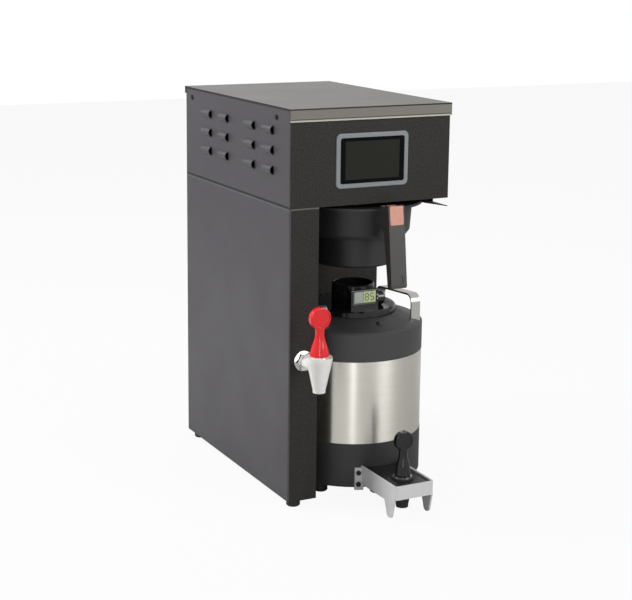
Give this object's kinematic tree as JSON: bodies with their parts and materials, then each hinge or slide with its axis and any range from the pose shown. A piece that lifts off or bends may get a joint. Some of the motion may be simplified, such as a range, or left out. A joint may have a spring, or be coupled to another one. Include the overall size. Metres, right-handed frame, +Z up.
{
  "type": "coffee brewer",
  "caption": "Tall automatic coffee brewer with a touch screen head, a pull-out brew cone, a lever hot-water faucet, and a lidded thermal server with its own lever faucet.",
  "frame": {"origin": "on the counter, under the middle of the whole object's box", "axes": "+X to the brewer's right seen from its front, +Y from the front to the back, +Z up"},
  "size_m": [0.2918, 0.5486, 0.632],
  "materials": {
    "casing_paint": "fine textured dark grey",
    "cover_paint": "satin grey",
    "black_plastic": "fine moulded grain",
    "gloss_black": "polished",
    "steel": "brushed around the barrel",
    "strap_steel": "brushed along the strap",
    "bright": "polished",
    "guard_paint": "light grey, satin",
    "bezel_plastic": "light grey, satin",
    "screen_glass": "glossy touch glass over a display",
    "red_plastic": "glossy moulded",
    "white_plastic": "glossy moulded",
    "insert_metal": "copper coloured, satin",
    "rubber": "matte",
    "zinc": "plain sheet",
    "copper": "drawn tube",
    "board": "circuit board",
    "silicone": "translucent grey"
  },
  "bodies": {
    "brewer": {"base_pan": "zinc", "lower_left_panel": "casing_paint", "column_front": "casing_paint", "column_inner_wall": "casing_paint", "bay_back_wall": "casing_paint", "lower_right_panel": "casing_paint", "head_floor": "zinc", "head_front_panel": "casing_paint", "louvred_panels": "casing_paint", "rear_panel": "casing_paint", "top_cover": "cover_paint", "cover_screws": "bright", "screen_bezel": "bezel_plastic", "touch_screen": "screen_glass", "brewer_feet": "rubber", "water_tank": "steel", "heating_element": "steel", "level_probe": "steel", "inlet_valve": "black_plastic", "inlet_pipe": "copper", "dispense_valve": "black_plastic", "dispense_pipe": "silicone", "spray_head": "strap_steel", "control_board": "board", "cord_gland": "black_plastic", "switch_housing": "black_plastic", "cone_rails": "zinc", "hot_faucet_body": "white_plastic", "hot_faucet_nut": "bright", "hot_faucet_bonnet": "bright", "hot_water_pipe": "silicone"},
    "rocker": {"switch_rocker": "gloss_black"},
    "cone": {"brew_cone": "black_plastic", "cone_cup": "black_plastic", "cone_rim": "black_plastic", "cone_handle": "black_plastic", "cone_handle_insert": "insert_metal", "filter_basket": "strap_steel"},
    "server": {"server_base": "black_plastic", "server_feet": "rubber", "server_shell": "steel", "server_liner": "strap_steel", "server_collar": "black_plastic", "lid_hinge_pin": "bright", "strap_handles": "strap_steel", "faucet_guard": "guard_paint", "guard_screws": "bright", "guard_tray": "gloss_black", "server_faucet_body": "black_plastic", "server_faucet_nut": "bright", "server_faucet_bonnet": "bright"},
    "lid": {"server_lid": "gloss_black", "lid_gasket": "silicone", "display_housing": "gloss_black", "display_screen": "screen_glass"},
    "latch": {"latch_button": "gloss_black"},
    "server_lever": {"server_faucet_lever": "gloss_black"},
    "server_seat": {"server_faucet_stem": "silicone"},
    "hot_lever": {"hot_faucet_lever": "red_plastic"},
    "hot_seat": {"hot_faucet_stem": "silicone"}
  },
  "joints": [
    {"name": "cone_slide", "type": "slide", "parent": "brewer", "child": "cone", "axis": [0, -1, 0], "range_m": [0, 0.22]},
    {"name": "server_slide", "type": "slide", "parent": "brewer", "child": "server", "axis": [0, -1, 0], "range_m": [0, 0.25]},
    {"name": "lid_hinge", "type": "hinge", "parent": "server", "child": "lid", "pos_m": [0.027, 0.02625, 0.29], "axis": [-1, 0, 0], "range_deg": [0, 14]},
    {"name": "latch_press", "type": "slide", "parent": "server", "child": "latch", "axis": [0, 0.3251, -0.9457], "range_m": [0, 0.0015], "stiffness_N_per_m": 300},
    {"name": "server_lever_tilt", "type": "hinge", "parent": "server", "child": "server_lever", "pos_m": [0.0225, -0.24875, 0.0579], "axis": [1, 0, 0], "range_deg": [0, 25]},
    {"name": "server_seat_lift", "type": "slide", "parent": "server", "child": "server_seat", "axis": [0, 0, 1], "range_m": [0, 0.0053]},
    {"name": "hot_lever_tilt", "type": "hinge", "parent": "brewer", "child": "hot_lever", "pos_m": [-0.1163, -0.22975, 0.2629], "axis": [1, 0, 0], "range_deg": [0, 25]},
    {"name": "hot_seat_lift", "type": "slide", "parent": "brewer", "child": "hot_seat", "axis": [0, 0, 1], "range_m": [0, 0.0064]},
    {"name": "switch_rock", "type": "hinge", "parent": "brewer", "child": "rocker", "pos_m": [0.078, 0.24425, 0.522], "axis": [-1, 0, 0], "range_deg": [0, 20]}
  ],
  "couplings": [
    {"joint": "hot_seat_lift", "follows": "hot_lever_tilt", "m_per_rad": 0.01453},
    {"joint": "server_seat_lift", "follows": "server_lever_tilt", "m_per_rad": 0.01211}
  ]
}
